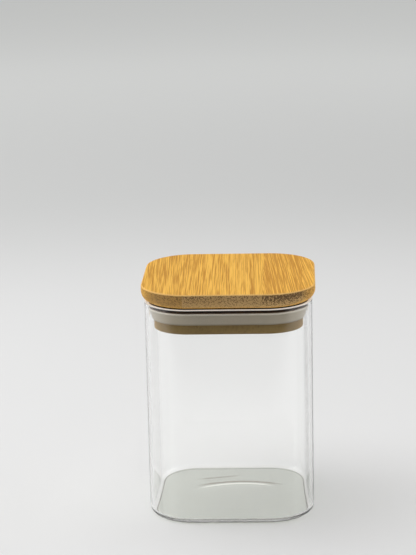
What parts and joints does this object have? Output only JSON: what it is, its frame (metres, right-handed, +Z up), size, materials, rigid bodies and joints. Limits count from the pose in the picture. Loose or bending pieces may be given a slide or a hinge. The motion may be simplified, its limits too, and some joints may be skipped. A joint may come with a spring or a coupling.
{
  "type": "spice jar",
  "caption": "Square clear glass storage jar with rounded corners, a laminated bamboo plug lid and a silicone lip seal that holds the lid in the mouth.",
  "frame": {"origin": "middle of the foot, on the surface the jar stands on", "axes": "+Z up through the mouth, +X along the front of the jar, -Y towards the viewer; the lid's grain runs along Y"},
  "size_m": [0.08, 0.08, 0.11],
  "materials": {
    "clear_glass": "clear blown glass, fire-polished rim",
    "bamboo_board": "pale honey bamboo, fine straight grain, satin",
    "bamboo_plug": "bamboo end grain, sanded, dry",
    "silicone": "milky translucent silicone, satin"
  },
  "bodies": {
    "jar": {"jar_glass": "clear_glass"},
    "lid": {"seal_ring": "silicone", "board_strip_1": "bamboo_board", "board_strip_2": "bamboo_board", "board_strip_3": "bamboo_board", "board_strip_4": "bamboo_board", "board_strip_5": "bamboo_board", "neck_strip_1": "bamboo_plug", "neck_strip_2": "bamboo_plug", "neck_strip_3": "bamboo_plug", "neck_strip_4": "bamboo_plug", "neck_strip_5": "bamboo_plug", "lip_strip_1": "bamboo_plug", "lip_strip_2": "bamboo_plug", "lip_strip_3": "bamboo_plug", "lip_strip_4": "bamboo_plug", "lip_strip_5": "bamboo_plug"}
  },
  "joints": [
    {"name": "lid_lift", "type": "slide", "parent": "jar", "child": "lid", "axis": [0, 0, 1], "range_m": [0, 0.06]}
  ]
}
